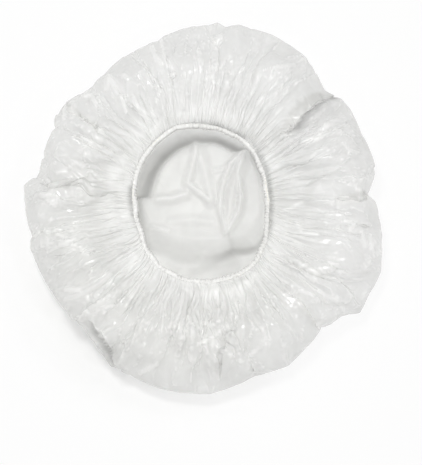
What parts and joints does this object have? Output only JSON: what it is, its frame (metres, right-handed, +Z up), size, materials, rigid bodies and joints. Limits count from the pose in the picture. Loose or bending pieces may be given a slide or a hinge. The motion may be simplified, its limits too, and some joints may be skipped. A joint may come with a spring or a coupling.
{
  "type": "shower cap",
  "caption": "Thin-film shower cap lying on its crown: a round billowing sheet gathered into a folded hem channel that holds a flat elastic band round the head opening.",
  "frame": {"origin": "on the surface the cap lies on, under the middle of its box", "axes": "+Z up out of the opening, +Y along the cap's longer width, +X across it"},
  "size_m": [0.274, 0.2894, 0.057],
  "materials": {
    "film": "thin translucent white film, glossy where it is drawn smooth",
    "hem_film": "doubled film, finely puckered",
    "elastic": "off-white knitted elastic, matte"
  },
  "bodies": {
    "crown": {"cap_film": "film"},
    "hem": {"hem_casing": "hem_film", "hem_seal": "hem_film", "elastic_band": "elastic"}
  },
  "joints": [
    {"name": "hem_lift", "type": "slide", "parent": "crown", "child": "hem", "axis": [0, 0, 1], "range_m": [-0.03, 0.04], "stiffness_N_per_m": 10, "deforming": ["cap_film"]}
  ]
}
